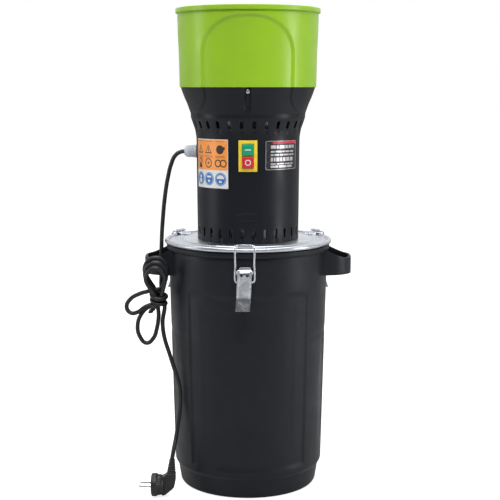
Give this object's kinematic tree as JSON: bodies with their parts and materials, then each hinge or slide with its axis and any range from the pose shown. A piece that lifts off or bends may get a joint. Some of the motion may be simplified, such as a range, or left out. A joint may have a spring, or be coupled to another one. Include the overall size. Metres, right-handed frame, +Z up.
{
  "type": "hammer mill",
  "caption": "Electric hammer mill: green hopper over a slotted black motor housing, on a galvanised lid latched to a black round collecting bin, with its cord and plug.",
  "frame": {"origin": "on the floor, on the axis of the bin, in the middle of its flat bottom", "axes": "+Z up along the axis; -Y towards the front with the switch; +X to the right of someone who faces the front"},
  "size_m": [0.3763, 0.2968, 0.794],
  "materials": {
    "bin_plastic": "moulded black polypropylene, fine grain",
    "housing_plastic": "moulded black plastic, satin",
    "hopper_plastic": "moulded lime green plastic, satin gloss",
    "galvanised": "galvanised sheet, faint spangle",
    "zinc": "bright zinc plated pressed steel",
    "steel": "machined steel",
    "lamination": "stacked electrical sheet",
    "copper": "varnished copper wire",
    "cast_aluminium": "as cast",
    "rubber": "black rubber, dull",
    "nylon": "light grey nylon",
    "yellow_plastic": "moulded yellow plastic",
    "green_button": "moulded green plastic",
    "red_button": "moulded red plastic",
    "orange_label": "printed film",
    "dark_label": "printed metallised film",
    "nickel": "nickel plated brass"
  },
  "bodies": {
    "root": {"bin": "bin_plastic", "bin_seal": "rubber", "lid": "galvanised", "housing": "housing_plastic", "hopper": "hopper_plastic", "switch_body": "yellow_plastic", "cable_gland": "nylon", "gland_nut": "nylon", "warning_label": "orange_label", "rating_label": "dark_label", "feed_chute": "galvanised", "stator_core": "lamination", "stator_winding": "copper", "upper_shield": "cast_aluminium", "lower_shield": "cast_aluminium", "upper_bearing": "steel", "lower_bearing": "steel", "capacitor": "nylon", "chamber_plate": "galvanised", "sieve_ring": "zinc", "chamber_floor": "zinc", "wing_stud_left": "zinc", "wing_stud_right": "zinc", "cord_feed": "rubber", "cord_hank": "rubber", "cord_side_loop": "rubber", "cord_low_loop": "rubber", "cord_tail": "rubber", "plug_relief": "rubber", "plug_body": "rubber", "plug_pin_front": "nickel", "plug_pin_rear": "nickel", "keeper_front": "zinc", "latch_base_front": "zinc", "hopper_screw_front": "zinc", "keeper_right": "zinc", "latch_base_right": "zinc", "hopper_screw_right": "zinc", "keeper_left": "zinc", "latch_base_left": "zinc", "hopper_screw_left": "zinc"},
    "rotor": {"motor_shaft": "steel", "rotor_core": "lamination", "cooling_fan": "housing_plastic", "hammer_disc": "steel", "disc_nut": "zinc"},
    "start": {"start_button": "green_button"},
    "stop": {"stop_button": "red_button"},
    "gate": {"feed_gate": "zinc"},
    "swing_1": {"hammer_1": "steel"},
    "swing_2": {"hammer_2": "steel"},
    "swing_3": {"hammer_3": "steel"},
    "swing_4": {"hammer_4": "steel"},
    "lever_front": {"latch_lever_front": "zinc"},
    "bail_front": {"latch_bail_front": "zinc"},
    "lever_right": {"latch_lever_right": "zinc"},
    "bail_right": {"latch_bail_right": "zinc"},
    "lever_left": {"latch_lever_left": "zinc"},
    "bail_left": {"latch_bail_left": "zinc"}
  },
  "joints": [
    {"name": "rotor_spin", "type": "hinge", "parent": "root", "child": "rotor", "pos_m": [0, 0, 0.45], "axis": [0, 0, 1], "continuous": true},
    {"name": "swing_1", "type": "hinge", "parent": "rotor", "child": "swing_1", "pos_m": [0, -0.044, 0.3921], "axis": [0, 0, 1], "range_deg": [-65, 65]},
    {"name": "swing_2", "type": "hinge", "parent": "rotor", "child": "swing_2", "pos_m": [0.044, 0, 0.3921], "axis": [0, 0, 1], "range_deg": [-65, 65]},
    {"name": "swing_3", "type": "hinge", "parent": "rotor", "child": "swing_3", "pos_m": [0, 0.044, 0.3921], "axis": [0, 0, 1], "range_deg": [-65, 65]},
    {"name": "swing_4", "type": "hinge", "parent": "rotor", "child": "swing_4", "pos_m": [-0.044, 0, 0.3921], "axis": [0, 0, 1], "range_deg": [-65, 65]},
    {"name": "latch_front", "type": "hinge", "parent": "root", "child": "lever_front", "pos_m": [-0.00497, -0.14241, 0.378], "axis": [-0.9994, 0.0349, 0], "range_deg": [0, 100]},
    {"name": "bail_front", "type": "hinge", "parent": "lever_front", "child": "bail_front", "pos_m": [-0.00494, -0.14141, 0.363], "axis": [-0.9994, 0.0349, 0], "range_deg": [-74.4, 0]},
    {"name": "latch_right", "type": "hinge", "parent": "root", "child": "lever_right", "pos_m": [0.12341, 0.07125, 0.378], "axis": [0.5, -0.866, 0], "range_deg": [0, 100]},
    {"name": "bail_right", "type": "hinge", "parent": "lever_right", "child": "bail_right", "pos_m": [0.12254, 0.07075, 0.363], "axis": [0.5, -0.866, 0], "range_deg": [-74.4, 0]},
    {"name": "latch_left", "type": "hinge", "parent": "root", "child": "lever_left", "pos_m": [-0.12341, 0.07125, 0.378], "axis": [0.5, 0.866, 0], "range_deg": [0, 100]},
    {"name": "bail_left", "type": "hinge", "parent": "lever_left", "child": "bail_left", "pos_m": [-0.12254, 0.07075, 0.363], "axis": [0.5, 0.866, 0], "range_deg": [-74.4, 0]},
    {"name": "start_press", "type": "slide", "parent": "root", "child": "start", "axis": [0, 1, 0], "range_m": [0, 0.003], "stiffness_N_per_m": 400, "springref_m": -0.0005},
    {"name": "stop_press", "type": "slide", "parent": "root", "child": "stop", "axis": [0, 1, 0], "range_m": [0, 0.003], "stiffness_N_per_m": 400, "springref_m": -0.0005},
    {"name": "gate_swing", "type": "hinge", "parent": "root", "child": "gate", "pos_m": [0, 0, 0.6416], "axis": [0, 0, 1], "range_deg": [0, 60]}
  ],
  "couplings": [
    {"joint": "bail_front", "follows": "latch_front", "ratio": -0.739},
    {"joint": "bail_right", "follows": "latch_right", "ratio": -0.739},
    {"joint": "bail_left", "follows": "latch_left", "ratio": -0.739}
  ]
}
